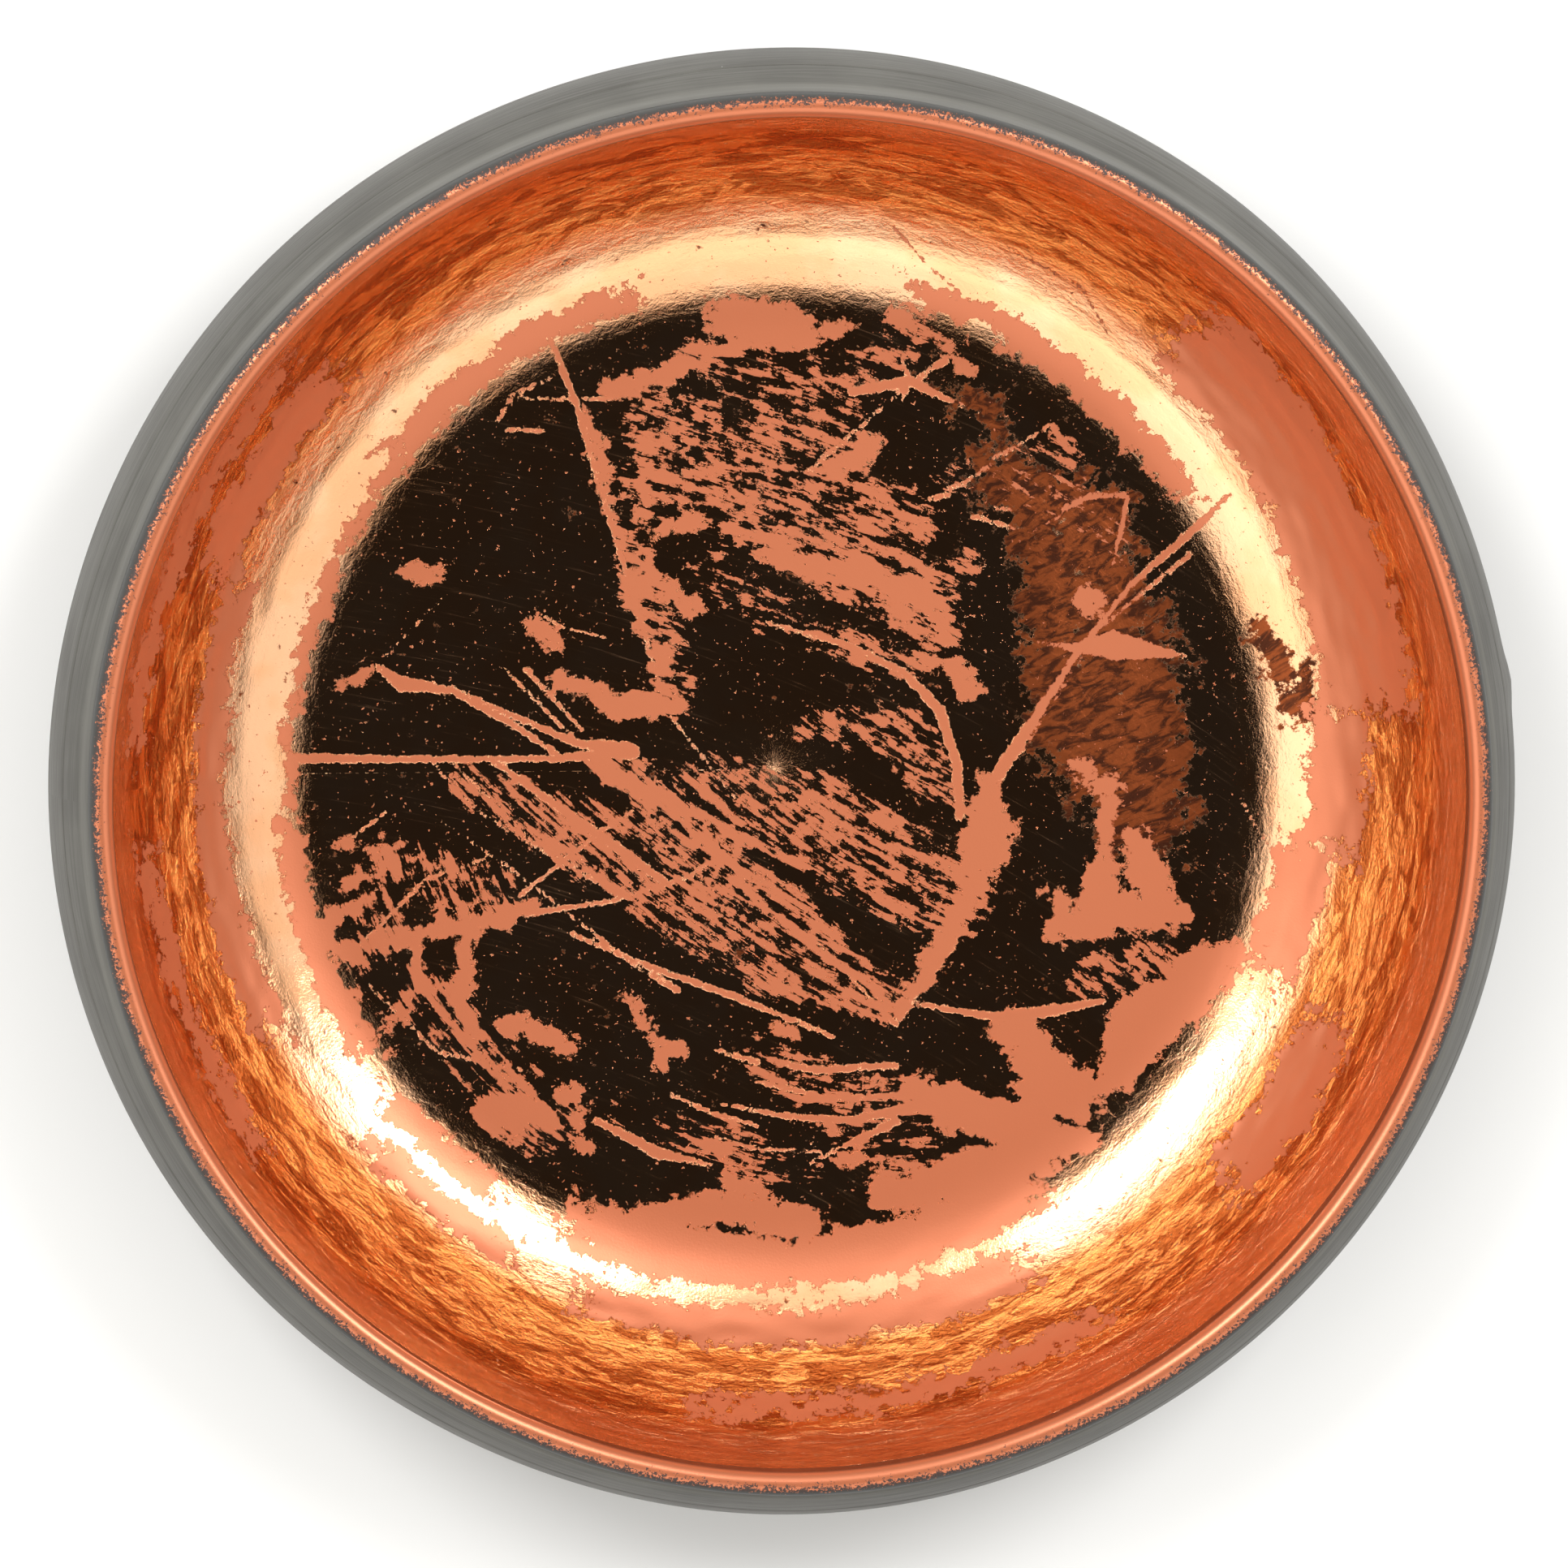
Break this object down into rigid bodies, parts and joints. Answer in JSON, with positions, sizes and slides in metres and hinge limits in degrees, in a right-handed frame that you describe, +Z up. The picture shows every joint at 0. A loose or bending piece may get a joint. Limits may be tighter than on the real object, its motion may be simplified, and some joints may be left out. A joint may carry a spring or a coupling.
{
  "type": "leaf-lined bowl",
  "caption": "Low round bowl with a matt grey turned-wood outside, a small rounded lip and an inside lined with torn, wrinkled copper leaf over copper paint.",
  "frame": {"origin": "middle of the flat base, on the surface the bowl stands on", "axes": "+Z up along the bowl's axis; the bowl is round about Z, and +X and +Y only place the leaf seams"},
  "size_m": [0.3, 0.3, 0.06],
  "materials": {
    "grey_painted_wood": "matt grey paint, rubbed smooth round the bowl",
    "copper_ground": "satin copper-coloured paint",
    "copper_leaf": "bright copper leaf under clear lacquer, wrinkled and torn"
  },
  "bodies": {
    "root": {"base_board": "grey_painted_wood", "wall_course_1": "grey_painted_wood", "wall_course_2": "grey_painted_wood", "wall_course_3": "grey_painted_wood", "shoulder_course": "grey_painted_wood", "lip_hoop": "grey_painted_wood", "bowl_ground": "copper_ground", "lip_ground": "copper_ground", "floor_leaf_west": "copper_leaf", "floor_leaf_north": "copper_leaf", "floor_leaf_east": "copper_leaf", "floor_leaf_south": "copper_leaf", "wall_leaf_1": "copper_leaf", "wall_leaf_2": "copper_leaf", "wall_leaf_3": "copper_leaf", "wall_leaf_4": "copper_leaf", "wall_leaf_5": "copper_leaf", "wall_leaf_6": "copper_leaf", "wall_leaf_7": "copper_leaf"}
  },
  "joints": []
}
